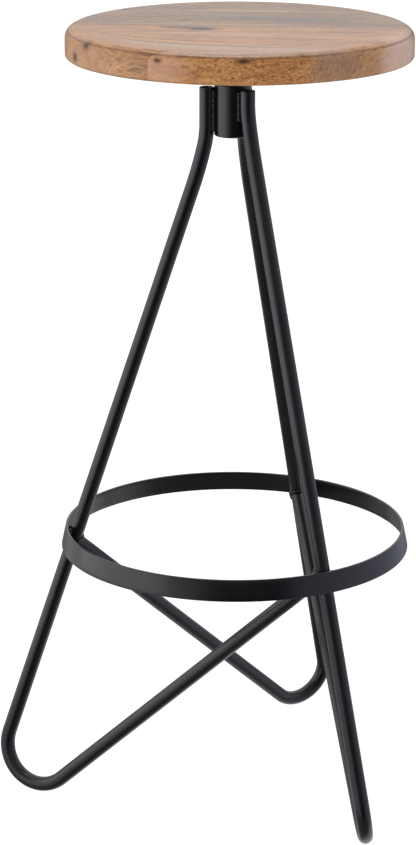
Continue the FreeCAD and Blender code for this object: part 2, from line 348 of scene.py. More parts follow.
# --------------------------------------------------------------------------
# weld beads: overlapping puddles laid along a line, tucked into the corner
# --------------------------------------------------------------------------
def bead_mesh(path, rad, push, seed, pitch=2.3, closed=False, seg=18, side=None):
    """path: points; push(v) moves a point out of the parts it is fused to."""
    rnd = random.Random(seed)
    L = [0.0]
    for a, c in zip(path, path[1:] + (path[:1] if closed else [])):
        L.append(L[-1] + (c - a).length)
    total = L[-1]
    src = path + (path[:1] if closed else [])

    def at(s):
        s = s % total if closed else max(0.0, min(total, s))
        for i in range(len(L) - 1):
            if s <= L[i + 1] + 1e-9:
                f = 0 if L[i + 1] == L[i] else (s - L[i]) / (L[i + 1] - L[i])
                return src[i].lerp(src[i + 1], f)
        return src[-1]
    n = max(12, int(total / 0.4))
    puddles = max(3, int(round(total / pitch)))
    sizes = [rnd.uniform(0.86, 1.08) for _ in range(puddles + 1)]
    verts, faces, rows = [], [], []
    up0 = Vector((0.3, 0.2, 0.93)).normalized()
    nrm = None
    cnt = n if closed else n + 1
    for k in range(cnt):
        s = total * k / n
        p = at(s)
        t = (at(s + 0.5) - at(s - 0.5))
        t = t.normalized() if t.length > 1e-6 else up0
        if nrm is None:
            nrm = t.orthogonal().normalized()
        nrm = (nrm - t * nrm.dot(t)).normalized()
        b = t.cross(nrm)
        ph = s / total * puddles
        i0 = int(ph) % puddles
        f = ph - int(ph)
        # each puddle swells quickly and tapers off, like overlapping scales
        rip = 0.80 + 0.20 * math.sin(math.pi * min(1.0, f * 1.15)) ** 0.6
        size = sizes[i0] * (1 - f) + sizes[(i0 + 1) % puddles] * f
        r = rad * rip * size
        if not closed:
            e = min(s, total - s)
            if e < rad:
                r *= math.sqrt(max(0.02, 1 - (1 - e / rad) ** 2))
        row = []
        for q in range(seg):
            a = 2 * math.pi * q / seg
            jig = 1 + 0.03 * math.sin(5 * a + ph * 2.1)
            v = p + (nrm * math.cos(a) + b * math.sin(a)) * (r * jig)
            row.append(len(verts))
            verts.append(push(v))
        rows.append(row)
    pairs = list(zip(rows, rows[1:]))
    if closed:
        # match the last row to the first by the smallest twist
        last, first = rows[-1], rows[0]
        best = min(range(seg), key=lambda sft: sum(
            (verts[last[q]] - verts[first[(q + sft) % seg]]).length for q in range(0, seg, 3)))
        pairs.append((last, [first[(q + best) % seg] for q in range(seg)]))
    for a, c in pairs:
        for s in range(seg):
            faces.append((a[s], a[(s + 1) % seg], c[(s + 1) % seg], c[s]))
    if not closed:
        faces.append(tuple(rows[0]))
        faces.append(tuple(reversed(rows[-1])))
    return verts, faces


def join_parts(name, parts):
    verts, faces = [], []
    for v, f in parts:
        o = len(verts)
        verts += v
        faces += [tuple(i + o for i in q) for q in f]
    return new_object(name, verts, faces)


SINK = 0.55   # how far a bead runs into the metal it is fused to


def push_cyl(v, q0, axis, r):
    m = v - q0
    m = m - axis * m.dot(axis)
    d = m.length
    if d < r - SINK and d > 1e-6:
        return v + m * ((r - SINK - d) / d)
    return v


def push_leg(v, g):
    """Keeps v out of leg g's wall, upright or sloping part."""
    if v.z > g["bend_z"]:
        return push_cyl(v, radial(g["az"], LEG_HUB_R, 0), V(0, 0, 1), TUBE_R)
    return push_cyl(v, g["apex"], g["u"], TUBE_R)


def push_ring(v):
    d = Vector((v.x - RING_X, v.y - RING_Y, 0))
    rin = RING_RO - RING_T + hf - (v.z - zb) / RING_H * RING_FLARE
    if d.length > rin + SINK:
        v = v - d.normalized() * (d.length - rin - SINK)
    return Vector((v.x, v.y, min(max(v.z, zb - 0.6), zt + 0.6)))


def leg_centre(g, z):
    """Centre of the tube of leg g at height z near the hub."""
    best = min(g["pts"], key=lambda p: abs(p.z - z) + (0 if p.z > 400 else 1e3))
    return best


hub_parts, ring_parts, brace_parts = [], [], []
for gi, g in enumerate(LEGS):
    g["pts"] = leg_path(g)
    z0 = max(g["bend_z"] - 21.0, COLLAR_Z0 + 4.0)
    a = math.radians(g["az"])
    er, et = V(math.cos(a), math.sin(a), 0), V(-math.sin(a), math.cos(a), 0)
    for side in (1, -1):
        path = [er * 18.35 + et * (side * 4.9) + V(0, 0, z0 + (LEG_TOP_Z - 1.2 - z0) * k / 14) for k in range(15)]

        def push(v, g=g, er=er):
            c = leg_centre(g, v.z)
            tangent = V(0, 0, 1)
            if v.z < g["bend_z"]:
                tangent = (leg_centre(g, v.z + 3) - leg_centre(g, v.z - 3)).normalized()
            v = push_cyl(v, c, tangent, TUBE_R)
            d = V(v.x, v.y, 0)
            if d.length < COLLAR_RO - SINK:
                v = v + d.normalized() * (COLLAR_RO - SINK - d.length)
            return v
        hub_parts.append(bead_mesh(path, 2.75, push, 10 * gi + side, pitch=2.6))
    # ring joints
    rl = leg_r(g, RING_Z)
    away = radial(g["az"], math.sin(g["tilt"]), -math.cos(g["tilt"]))
    out, tang = er, et
    c = V(RING_X, RING_Y, 0)
    k0 = c.dot(out)
    wall = k0 + math.sqrt(k0 * k0 - c.dot(c) + (RING_RO - RING_T) ** 2)
    mid_r = (rl + 4.9 + wall) / 2
    rb = max(2.7, (wall - rl - 4.9) / 2 + 0.6)
    for side in (1, -1):
        p = out * mid_r + tang * (side * 5.5) + V(0, 0, RING_Z)
        path = [p + away * (-9.0 + 18.0 * k / 10) for k in range(11)]

        def push(v, g=g):
            return push_ring(push_leg(v, g))
        ring_parts.append(bead_mesh(path, rb * 0.95, push, 40 + 10 * gi + side, pitch=2.9))
    # brace foot: bead round the shaped tube end
    nxt = LEGS[(gi + 1) % 3]
    n0 = g["w"].orthogonal().normalized()
    b0 = g["w"].cross(n0)
    base = g["end"] - g["w"] * 40
    path = []
    for k in range(48):
        an = 2 * math.pi * k / 48
        v = base + (n0 * math.cos(an) + b0 * math.sin(an)) * (TUBE_R + 0.55)
        v = v + g["w"] * (first_hit(v, g["w"], nxt["apex"], nxt["u"], TUBE_R + 0.5))
        path.append(v)

    def push(v, g=g, nxt=nxt):
        v = push_cyl(v, g["end"], g["w"], TUBE_R)
        v = push_cyl(v, nxt["apex"], nxt["u"], TUBE_R)
        return push_ring(v)
    brace_parts.append(bead_mesh(path, 1.75, push, 70 + gi, pitch=2.4, closed=True))

hub_o = join_parts("hub_beads", hub_parts)
rw_o = join_parts("ring_beads", ring_parts)
bw_o = join_parts("brace_beads", brace_parts)


# --------------------------------------------------------------------------
# seat boards
# --------------------------------------------------------------------------
ct, st = math.cos(math.radians(SEAT_TURN)), math.sin(math.radians(SEAT_TURN))
# disc centre in the seat's own turned frame
DCX, DCY = SEAT_X * ct + SEAT_Y * st, -SEAT_X * st + SEAT_Y * ct
SEAT_Z0 = SEAT_TOP - SEAT_T
GLUE = 0.22


def to_world(x, y, z):
    return (x * ct - y * st, x * st + y * ct, z)


# knots: (x, y in the seat's turned frame, half length, half width, depth)
TOP_KNOTS = [(-31, -18.5, 9.0, 3.6, 0.35), (-24, 55, 6, 3, 0.0)]


def board_outline(y0, y1, rho, cut_in, n_arc, n_line):
    """Closed outline, counter-clockwise, of the disc of radius rho between two straight cuts."""
    out = []
    lo, hi = max(y0 + cut_in, -1e3), min(y1 - cut_in, 1e3)
    bot = lo > DCY - rho
    topc = hi < DCY + rho
    a0 = math.asin(max(-1, min(1, (lo - DCY) / rho))) if bot else -math.pi / 2
    a1 = math.asin(max(-1, min(1, (hi - DCY) / rho))) if topc else math.pi / 2
    for k in range(n_arc + 1):
        a = a0 + (a1 - a0) * k / n_arc
        out.append((DCX + rho * math.cos(a), DCY + rho * math.sin(a)))
    if topc:
        xr, xl = DCX + rho * math.cos(a1), DCX - rho * math.cos(a1)
        for k in range(1, n_line):
            out.append((xr + (xl - xr) * k / n_line, hi))
    start = 0 if topc else 1
    for k in range(start, n_arc + 1):
        a = math.pi - (a1 + (a0 - a1) * k / n_arc)
        out.append((DCX + rho * math.cos(a), DCY + rho * math.sin(a)))
    if bot:
        xl, xr = DCX - rho * math.cos(a0), DCX + rho * math.cos(a0)
        for k in range(1, n_line):
            out.append((xl + (xr - xl) * k / n_line, lo))
    else:
        out.pop()
    return out


def top_height(x, y):
    """Small hollows and the planed unevenness of the oiled top, in mm below the top plane."""
    d = 0.0
    for kx, ky, a, b, dep in TOP_KNOTS:
        q = ((x - kx) / a) ** 2 + ((y - ky) / b) ** 2
        if q < 4:
            d += dep * math.exp(-q * 1.6)
    d += 0.05 + 0.05 * math.sin(y * 0.11 + 0.8 * math.sin(x * 0.013)) * math.sin(x * 0.021 + y * 0.05)
    return d


def board_mesh(name, y0, y1, n_arc, n_line, cell):
    levels = []
    for k in range(9):                       # upper rounded edge, from the flat outwards
        t = math.pi / 2 * k / 8
        levels.append((SEAT_TOP - TOP_ROUND + TOP_ROUND * math.cos(t), TOP_ROUND - TOP_ROUND * math.sin(t),
                       GLUE if k == 0 else (GLUE * 0.6 if k < 4 else 0.0)))
    levels.insert(0, (SEAT_TOP, TOP_ROUND + 1.2, GLUE + 1.0))
    for f in (0.25, 0.5, 0.75):
        levels.append((SEAT_TOP - TOP_ROUND - (SEAT_T - TOP_ROUND - BOT_ROUND) * f, 0.0, 0.0))
    for k in range(5):                       # lower edge
        t = math.pi / 2 * k / 4
        levels.append((SEAT_Z0 + BOT_ROUND - BOT_ROUND * math.sin(t), BOT_ROUND - BOT_ROUND * math.cos(t),
                       0.0 if k < 4 else 0.1))
    levels.append((SEAT_Z0, BOT_ROUND + 1.2, 1.1))
    verts, faces, rows = [], [], []
    for z, inset, cut_in in levels:
        row = []
        for x, y in board_outline(y0, y1, SEAT_R - inset, cut_in, n_arc, n_line):
            row.append(len(verts))
            verts.append([x, y, z])
        rows.append(row)
    # a shallow step in height where two boards meet: the groove itself
    M = len(rows[0])
    for a, c in zip(rows, rows[1:]):
        for s in range(M):
            faces.append((a[s], a[(s + 1) % M], c[(s + 1) % M], c[s]))
    # caps as fine meshes
    for row, z, flip, size in ((rows[0], SEAT_TOP, False, cell), (rows[-1], SEAT_Z0, True, cell * 2.5)):
        # for the triangulation only, the straight glue lines bow out a hair, so no sliver lies along them
        ys = [verts[i][1] for i in row]
        outline = []
        for i in row:
            vx, vy = verts[i][0], verts[i][1]
            for lim, sg in ((max(ys), 1), (min(ys), -1)):
                on = [verts[q][0] for q in row if abs(verts[q][1] - lim) < 1e-6]
                if len(on) > 3 and abs(vy - lim) < 1e-6:
                    u = (vx - 0.5 * (max(on) + min(on))) / (0.5 * (max(on) - min(on)))
                    vy += sg * 0.06 * (1 - u * u)
            outline.append(Vector((vx, vy)))
        pts = list(outline)
        edges = [(k, (k + 1) % M) for k in range(M)]
        rho = SEAT_R - TOP_ROUND - 1.2 if not flip else SEAT_R - BOT_ROUND - 1.2
        ny = int(2 * rho / (size * 0.8))
        for j in range(-ny, ny + 1):
            y = DCY + j * size * 0.8
            if y < y0 + size * 0.55 or y > y1 - size * 0.55:
                continue
            for i2 in range(-int(rho / size) - 1, int(rho / size) + 2):
                x = DCX + (i2 + (0.5 if j % 2 else 0)) * size
                if (x - DCX) ** 2 + (y - DCY) ** 2 < (rho - size * 0.55) ** 2:
                    pts.append(Vector((x, y)))
        res = delaunay_2d_cdt(pts, edges, [], 1, 1e-5)
        vs, fs, orig = res[0], res[2], res[3]
        idx = {}
        for k, v in enumerate(vs):
            o_ids = [q for q in orig[k] if q < M]
            if o_ids:
                idx[k] = row[o_ids[0]]
            else:
                idx[k] = len(verts)
                verts.append([v.x, v.y, z])
        for f in fs:
            cx = sum(vs[q].x for q in f) / 3
            cy = sum(vs[q].y for q in f) / 3
            faces.append(tuple(idx[q] for q in (reversed(f) if flip else f)))
    out = []
    for x, y, z in verts:
        edge = math.hypot(x - DCX, y - DCY)
        if z > SEAT_TOP - 0.01 and edge < SEAT_R - TOP_ROUND - 0.5:
            z = z - top_height(x, y)
        out.append(to_world(x, y, z))
    o = new_object(name, out, faces)
    sharp_by_angle(o, 50)
    return o


boards = {}
for nm, y0, y1, na, nl in (("seat_board_front", CUTS[0], CUTS[1], 26, 40),
                           ("seat_board_middle", CUTS[1], CUTS[2], 46, 90),
                           ("seat_board_rear", CUTS[2], CUTS[3], 64, 90)):
    boards[nm] = board_mesh(nm.replace("seat_board", "board"), y0, y1, na, nl, 3.6)


# --------------------------------------------------------------------------
# materials
# --------------------------------------------------------------------------
class Mat:
    def __init__(self, name):
        self.m = bpy.data.materials.new(name)
        self.m.use_nodes = True
        self.t = self.m.node_tree
        self.t.nodes.clear()
        self.out = self.t.nodes.new("ShaderNodeOutputMaterial")
        self.b = self.t.nodes.new("ShaderNodeBsdfPrincipled")
        self.t.links.new(self.b.outputs[0], self.out.inputs[0])

    def node(self, kind, **kw):
        n = self.t.nodes.new(kind)
        for k, v in kw.items():
            setattr(n, k, v)
        return n

    def link(self, a, b):
        self.t.links.new(a, b)

    def put(self, sock, v):
        if hasattr(v, "is_linked") or isinstance(v, bpy.types.NodeSocket):
            self.link(v, sock)
        else:
            sock.default_value = v

    def coord(self):
        return self.node("ShaderNodeTexCoord").outputs["Object"]

    def mapping(self, vec, scale=(1, 1, 1), rot=(0, 0, 0), loc=(0, 0, 0)):
        n = self.node("ShaderNodeMapping")
        self.link(vec, n.inputs["Vector"])
        n.inputs["Scale"].default_value = scale
        n.inputs["Rotation"].default_value = rot
        n.inputs["Location"].default_value = loc
        return n.outputs[0]

    def noise(self, vec, scale, detail=2.0, rough=0.5, dist=0.0, out="Fac"):
        n = self.node("ShaderNodeTexNoise")
        self.link(vec, n.inputs["Vector"])
        n.inputs["Scale"].default_value = scale
        n.inputs["Detail"].default_value = detail
        n.inputs["Roughness"].default_value = rough
        n.inputs["Distortion"].default_value = dist
        return n.outputs[out]

    def voronoi(self, vec, scale, feature="F1", rnd=1.0, out="Distance"):
        n = self.node("ShaderNodeTexVoronoi", feature=feature)
        self.link(vec, n.inputs["Vector"])
        n.inputs["Scale"].default_value = scale
        n.inputs["Randomness"].default_value = rnd
        return n.outputs[out]

    def math(self, op, a, b=None, c=None, clamp=False):
        n = self.node("ShaderNodeMath", operation=op, use_clamp=clamp)
        self.put(n.inputs[0], a)
        if b is not None:
            self.put(n.inputs[1], b)
        if c is not None:
            self.put(n.inputs[2], c)
        return n.outputs[0]

    def ramp(self, v, a, b, lo=0.0, hi=1.0, smooth=True):
        n = self.node("ShaderNodeMapRange", clamp=True)
        n.interpolation_type = "SMOOTHSTEP" if smooth else "LINEAR"
        self.put(n.inputs["Value"], v)
        n.inputs["From Min"].default_value = a
        n.inputs["From Max"].default_value = b
        n.inputs["To Min"].default_value = lo
        n.inputs["To Max"].default_value = hi
        return n.outputs["Result"]

    def mix(self, f, a, b, blend="MIX"):
        n = self.node("ShaderNodeMix", data_type="RGBA", blend_type=blend, clamp_factor=True)
        self.put(n.inputs[0], f)
        for s, v in ((n.inputs[6], a), (n.inputs[7], b)):
            if isinstance(v, tuple):
                s.default_value = (*v, 1) if len(v) == 3 else v
            else:
                self.link(v, s)
        return n.outputs[2]

    def bump(self, h, strength=0.3, dist=0.001, normal=None):
        n = self.node("ShaderNodeBump")
        self.link(h, n.inputs["Height"])
        n.inputs["Strength"].default_value = strength
        n.inputs["Distance"].default_value = dist
        if normal is not None:
            self.link(normal, n.inputs["Normal"])
        return n.outputs[0]

    def combine(self, x, y, z):
        n = self.node("ShaderNodeCombineXYZ")
        for s, v in zip(n.inputs, (x, y, z)):
            self.put(s, v)
        return n.outputs[0]

    def split(self, v):
        n = self.node("ShaderNodeSeparateXYZ")
        self.link(v, n.inputs[0])
        return n.outputs


def powder_coat(name, weld=False):
    m = Mat(name)
    co = m.coord()
    cloud = m.noise(co, 22, 3, 0.55)
    fine = m.noise(co, 900, 2, 0.5)
    peel = m.noise(co, 330, 2, 0.45)
    dust = m.noise(co, 2600, 1, 0.5)
    col = m.mix(m.ramp(cloud, 0.3, 0.7), (0.0026, 0.0026, 0.0042), (0.0042, 0.0042, 0.0064))
    col = m.mix(m.ramp(dust, 0.68, 0.82), col, (0.008, 0.008, 0.009))
    m.link(col, m.b.inputs["Base Color"])
    rough = m.math("ADD", m.ramp(cloud, 0.25, 0.75, 0.21, 0.27), m.ramp(fine, 0.3, 0.7, -0.02, 0.03))
    m.link(rough, m.b.inputs["Roughness"])
    m.b.inputs["Specular IOR Level"].default_value = 0.5
    h = m.math("ADD", m.math("MULTIPLY", peel, 0.7), m.math("MULTIPLY", fine, 0.3))
    m.link(m.bump(h, 0.045 if not weld else 0.30, 0.0006), m.b.inputs["Normal"])
    return m.m


def steel(name, base, rough, aniso=0.0):
    m = Mat(name)
    co = m.coord()
    ax = m.mapping(co, (60, 60, 900))
    turn = m.noise(ax, 1.6, 3, 0.6)
    cloud = m.noise(co, 60, 3, 0.5)
    dark = tuple(c * 0.72 for c in base)
    m.link(m.mix(m.ramp(cloud, 0.3, 0.75), dark, base), m.b.inputs["Base Color"])
    m.b.inputs["Metallic"].default_value = 1.0
    m.link(m.math("ADD", m.ramp(cloud, 0.2, 0.8, rough - 0.05, rough + 0.08),
                  m.ramp(turn, 0.3, 0.7, -0.04, 0.05)), m.b.inputs["Roughness"])
    m.link(m.bump(turn, 0.25, 0.0002), m.b.inputs["Normal"])
    return m.m


def plastic(name, base, rough):
    m = Mat(name)
    co = m.coord()
    grain = m.noise(co, 700, 3, 0.6)
    cloud = m.noise(co, 45, 2, 0.5)
    m.link(m.mix(m.ramp(cloud, 0.3, 0.7), tuple(c * 0.8 for c in base), base), m.b.inputs["Base Color"])
    m.link(m.ramp(grain, 0.3, 0.7, rough - 0.06, rough + 0.08), m.b.inputs["Roughness"])
    m.link(m.bump(grain, 0.25, 0.0002), m.b.inputs["Normal"])
    return m.m


def wood(name, tone, pith, seed, knots=(), streaks=(), rope=0.0, fan=0.0, pores=0.6, face=None, rope_x=(0, 1),
         ripple=None):
    """A solid oiled hardwood.  The grain runs along the seat's turned x axis.
    tone: (light, mid, dark) colours.  pith: (y, z) of the tree's centre in mm.
    knots and streaks: (x, y, z, half length, half width, half height, strength) in mm.
    ripple: (from x, to x, strength) of soft bands across the grain.
    fan: how much the grain lines close up towards the left end.  rope: curly figure."""
    m = Mat(name)
    co = m.mapping(m.coord(), (1000, 1000, 1000), (0, 0, math.radians(-SEAT_TURN)))   # millimetres, grain along x
    x, y, z = m.split(co)
    y0 = y
    if fan:
        e = m.math("POWER", 2.718, m.math("MULTIPLY", m.math("ADD", x, 120.0), -1 / 53.0))
        e = m.math("MINIMUM", m.math("MULTIPLY", e, fan), 0.72)
        y = m.math("DIVIDE", y, m.math("SUBTRACT", 1.0, e))
    # slow bending of the grain
    warp = m.noise(m.mapping(co, (0.0050, 0.016, 0.016), loc=(seed, seed * 0.7, 0)), 1.0, 2, 0.5, out="Color")
    wx, wy, wz = m.split(warp)
    wy = m.math("MULTIPLY", m.math("SUBTRACT", wy, 0.5), 22.0)
    wz = m.math("MULTIPLY", m.math("SUBTRACT", wz, 0.5), 18.0)
    wav = m.noise(m.mapping(co, (0.05, 0.12, 0.12), loc=(seed * 2, 0, 3)), 1.0, 2, 0.5)
    wv = m.math("MULTIPLY", m.math("SUBTRACT", wav, 0.5), 3.5 + 12.0 * rope)
    yy = m.math("ADD", m.math("ADD", y, wy), wv)
    zz = m.math("ADD", m.math("ADD", z, wz), wv)
    # the grain flows round each knot
    fields = []
    for k in knots:
        kx, ky, kz, ka, kb, kh, ks = k
        dx = m.math("DIVIDE", m.math("SUBTRACT", x, kx), ka)
        dy = m.math("DIVIDE", m.math("SUBTRACT", y0, ky), kb)
        dz = m.math("DIVIDE", m.math("SUBTRACT", z, kz), kh)
        d2 = m.math("ADD", m.math("ADD", m.math("MULTIPLY", dx, dx), m.math("MULTIPLY", dy, dy)),
                    m.math("MULTIPLY", dz, dz))
        fields.append(d2)
        g = m.math("POWER", 2.718, m.math("MULTIPLY", d2, -0.18))
        yy = m.math("ADD", yy, m.math("MULTIPLY", m.math("MULTIPLY", g, dy), kb * 0.75))
    py, pz = pith
    ry = m.math("SUBTRACT", yy, py)
    rz = m.math("SUBTRACT", zz, pz)
    r = m.math("SQRT", m.math("ADD", m.math("MULTIPLY", ry, ry), m.math("MULTIPLY", rz, rz)))
    rn = m.noise(m.combine(m.math("MULTIPLY", r, 0.16), m.math("MULTIPLY", x, 0.0012), 0.3 + seed), 1.0, 3, 0.55)
    ringv = m.math("SINE", m.math("MULTIPLY", m.math("ADD", r, m.math("MULTIPLY", rn, 12.0)), 1.9))
    rings = m.ramp(ringv, -0.2, 1.0)
    gv = m.combine(x, yy, zz)
    # long fibres: streaks stretched along the grain, at three widths
    fib = m.noise(m.mapping(gv, (0.016, 1.05, 1.05), loc=(seed, 0, 0)), 1.0, 3, 0.65)
    fib2 = m.noise(m.mapping(gv, (0.012, 0.30, 0.30), loc=(0, seed * 3, 0)), 1.0, 3, 0.55)
    broad = m.noise(m.mapping(gv, (0.005, 0.060, 0.060), loc=(seed * 5, 0, 0)), 1.0, 2, 0.5)
    patch = m.noise(m.mapping(co, (0.010, 0.020, 0.020), loc=(seed, 4, seed)), 1.0, 2, 0.5)
    light, mid, dark = tone
    deep = tuple(c * 0.50 for c in dark)
    col = m.mix(m.ramp(broad, 0.36, 0.64), mid, light)
    col = m.mix(m.math("MULTIPLY", m.ramp(patch, 0.45, 0.70), 0.35), col, tuple(0.5 * (p + q) for p, q in zip(mid, dark)))
    col = m.mix(m.math("MULTIPLY", rings, 0.34), col, dark)
    col = m.mix(m.ramp(fib2, 0.51, 0.68, 0.0, 0.85), col, dark)
    col = m.mix(m.ramp(fib, 0.53, 0.70, 0.0, 0.70), col, deep)
    col = m.mix(m.ramp(fib, 0.28, 0.46, 0.65, 0.0), col, light)
    if rope:
        # curly figure: short fibres rolling in and out of the cut face
        where = m.ramp(m.math("ADD", x, m.math("MULTIPLY", m.math("SUBTRACT", wav, 0.5), 50.0)), rope_x[0], rope_x[1])
        roll = m.noise(m.mapping(co, (0.085, 0.08, 0.11), loc=(seed, 1, 0)), 1.0, 2, 0.5)
        curl = m.noise(m.combine(m.math("MULTIPLY", x, 0.30),
                                 m.math("MULTIPLY", y0, 0.3),
                                 m.math("ADD", m.math("MULTIPLY", z, 1.25), m.math("MULTIPLY", roll, 13.0))),
                       1.0, 3, 0.62, 0.5)
        col = m.mix(m.math("MULTIPLY", where, 0.35), col, mid)
        col = m.mix(m.math("MULTIPLY", m.math("MULTIPLY", m.ramp(curl, 0.50, 0.64), 0.92 * rope), where), col, tuple(0.72 * c for c in dark))
        col = m.mix(m.math("MULTIPLY", m.math("MULTIPLY", m.ramp(curl, 0.34, 0.47, 1.0, 0.0), 0.65 * rope), where), col, light)
    if ripple:
        # fiddleback: soft bands rolling across the grain
        rp = m.noise(m.mapping(co, (0.05, 0.05, 0.10), loc=(2, seed, 0)), 1.0, 2, 0.5)
        rs = m.math("SINE", m.math("ADD", m.math("ADD", m.math("MULTIPLY", x, 1.15), m.math("MULTIPLY", z, -0.55)),
                                   m.math("MULTIPLY", rp, 14.0)))
        rw = m.math("MULTIPLY", m.ramp(x, ripple[0] - 8, ripple[0] + 8), m.ramp(x, ripple[1] - 15, ripple[1] + 15, 1.0, 0.0))
        rw = m.math("MULTIPLY", rw, m.ramp(z, SEAT_TOP - 6, SEAT_TOP - 3, 1.0, 0.12))
        rw = m.math("MULTIPLY", rw, m.ramp(z, SEAT_Z0 + 0.2, SEAT_Z0 + 2.0, 0.1, 1.0))
        col = m.mix(m.math("MULTIPLY", m.math("MULTIPLY", m.ramp(rs, 0.1, 1.0), ripple[2]), rw), col, dark)
        col = m.mix(m.math("MULTIPLY", m.math("MULTIPLY", m.ramp(rs, -1.0, -0.2, 1.0, 0.0), ripple[2] * 0.7), rw), col, light)
    # pores: short open vessels, dots on the end grain
    vor = m.voronoi(m.mapping(gv, (0.15, 1.05, 1.05), loc=(seed * 7, 1, 2)), 1.0)
    clus = m.noise(m.mapping(gv, (0.02, 0.10, 0.10), loc=(0, 0, seed)), 1.0, 2, 0.5)
    pore = m.math("MULTIPLY", m.ramp(vor, 0.12, 0.34, 1.0, 0.0), m.ramp(clus, 0.34, 0.58, 0.25, 1.0))
    col = m.mix(m.math("MULTIPLY", pore, pores), col, deep)
    if face:
        # the sanded top face is painted paler and greyer than the turned edge: partly its own tone, partly a painted
        # sheen
        col = m.mix(m.math("MULTIPLY", m.ramp(z, SEAT_TOP - 3.2, SEAT_TOP - 1.4), 0.8), col,
                    m.mix(m.ramp(fib, 0.4, 0.62), face, tuple(0.7 * c for c in face)))
    for s in streaks:
        sx, sy, sz, sa, sb, sh, ss, scol = s
        dx = m.math("DIVIDE", m.math("SUBTRACT", x, sx), sa)
        dy = m.math("DIVIDE", m.math("SUBTRACT", m.math("ADD", y, m.math("MULTIPLY", wv, 0.8)), sy), sb)
        dz = m.math("DIVIDE", m.math("SUBTRACT", z, sz), sh)
        d2 = m.math("ADD", m.math("ADD", m.math("MULTIPLY", dx, dx), m.math("MULTIPLY", dy, dy)),
                    m.math("MULTIPLY", dz, dz))
        f = m.math("MULTIPLY", m.ramp(d2, 0.10, 1.0, 1.0, 0.0), m.ramp(fib2, 0.25, 0.60, 0.45, 1.0))
        col = m.mix(m.math("MULTIPLY", f, ss), col, scol)
    for k, d2 in zip(knots, fields):
        ks = k[6]
        d = m.math("ADD", m.math("SQRT", d2), m.math("MULTIPLY", m.math("SUBTRACT", fib2, 0.5), 0.9))
        halo = m.ramp(d, 0.5, 1.8, 1.0, 0.0)
        core = m.ramp(d, 0.25, 0.95, 1.0, 0.0)
        col = m.mix(m.math("MULTIPLY", halo, min(1.0, 0.55 * ks)), col, tuple(c * 0.6 for c in dark))
        col = m.mix(m.math("MULTIPLY", core, min(1.0, 0.92 * ks)), col, (0.035, 0.018, 0.012))
    # painted shade: a narrow band of the turned edge just under the rim is darkened; the edge also darkens towards the
    # bottom over its lowest 3 mm
    rx = m.math("SUBTRACT", x, DCX)
    ryy = m.math("SUBTRACT", y0, DCY)
    rad = m.math("SQRT", m.math("ADD", m.math("MULTIPLY", rx, rx), m.math("MULTIPLY", ryy, ryy)))
    edge = m.math("MULTIPLY", m.ramp(rad, SEAT_R - 3.7, SEAT_R - 3.2),
                  m.math("MULTIPLY", m.ramp(z, SEAT_TOP - 5.2, SEAT_TOP - 3.4),
                         m.ramp(fib2, 0.3, 0.6, 0.5, 1.0)))
    low = m.math("MULTIPLY", m.ramp(z, SEAT_Z0 + 0.6, SEAT_Z0 + 3.0, 1.0, 0.0), 0.5)
    # the painted shade under the rim is mixed into the colour here
    col = m.mix(m.math("MULTIPLY", edge, 0.72), col, deep)
    col = m.mix(low, col, deep)
    m.link(col, m.b.inputs["Base Color"])
    ro = m.math("ADD", m.ramp(broad, 0.3, 0.7, 0.25, 0.33), m.math("MULTIPLY", pore, 0.22))
    m.link(ro, m.b.inputs["Roughness"])
    m.b.inputs["Specular IOR Level"].default_value = 0.30
    hh = m.math("ADD", m.math("MULTIPLY", fib, 0.35), m.math("MULTIPLY", pore, -0.9))
    hh = m.math("ADD", hh, m.math("MULTIPLY", rings, 0.10))
    m.link(m.bump(hh, 0.30, 0.0004), m.b.inputs["Normal"])
    return m.m


coat = powder_coat("powder_coat_black")
coat_weld = powder_coat("powder_coat_over_weld", weld=True)
steel_bright = steel("turned_steel", (0.55, 0.55, 0.56), 0.32)
steel_zinc = steel("zinc_plated_steel", (0.62, 0.63, 0.66), 0.28)
steel_spring = steel("spring_steel_dark", (0.22, 0.21, 0.21), 0.36)
bush = plastic("acetal_bush", (0.045, 0.045, 0.048), 0.42)

GREY = (0.130, 0.105, 0.088)
LINE = (0.13, 0.062, 0.032)
w_rear = wood("wood_rear_board", ((0.37, 0.230, 0.130), (0.285, 0.172, 0.098), (0.145, 0.086, 0.052)), (72, 700), 3.1,
              knots=((-50, 54, 765, 16, 9, 9, 0.0), (-48, 33, 765, 7, 3.6, 5, 0.7)),
              streaks=((45, 47, 765, 100, 19, 14, 0.85, GREY), (-55, 72, 765, 80, 30, 14, 0.5, (0.20, 0.15, 0.115)),
                       (-54, 108, 765, 34, 7, 14, 0.85, GREY), (120, 14, 765, 60, 9, 14, 0.5, GREY),
                       (10, 96, 765, 70, 8, 14, 0.6, (0.50, 0.29, 0.16)), (-20, 8, 765, 150, 6, 14, 0.5, (0.46, 0.27, 0.155)),
                       (-95, 52, 765, 60, 3.5, 9, 0.6, LINE), (60, 24, 765, 80, 3.0, 9, 0.6, LINE)), pores=0.8)
